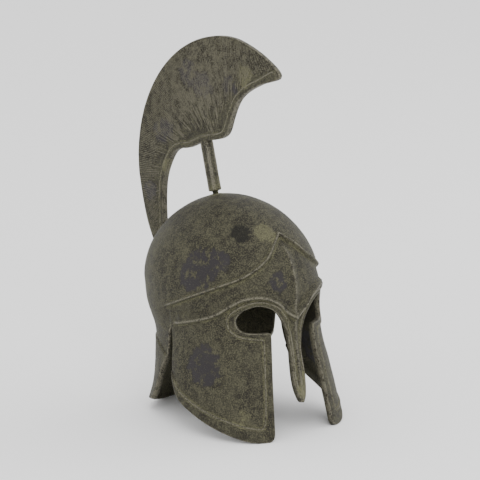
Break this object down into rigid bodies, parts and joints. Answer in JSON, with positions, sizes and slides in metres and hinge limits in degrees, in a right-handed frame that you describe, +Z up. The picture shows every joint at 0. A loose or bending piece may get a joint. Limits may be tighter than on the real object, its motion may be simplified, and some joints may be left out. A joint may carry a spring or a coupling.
{
  "type": "helmet",
  "caption": "Closed-face ancient Greek style bronze helmet with cheek guards, nasal, neck guard and a tall crescent crest plate on a square post.",
  "frame": {"origin": "on the ground under the middle of the object's bounding box", "axes": "+Z up, the face looks along -Y, +X is the wearer's left"},
  "size_m": [0.2198, 0.315, 0.4824],
  "materials": {
    "aged_bronze": "dark brown-black bronze with olive green tarnish in the low places and pale wear on the ridges",
    "crest_bronze": "the same bronze, finely grooved, with smooth dark round patches"
  },
  "bodies": {
    "root": {"helmet_shell": "aged_bronze", "crest_plate": "crest_bronze", "crest_post": "aged_bronze"}
  },
  "joints": []
}
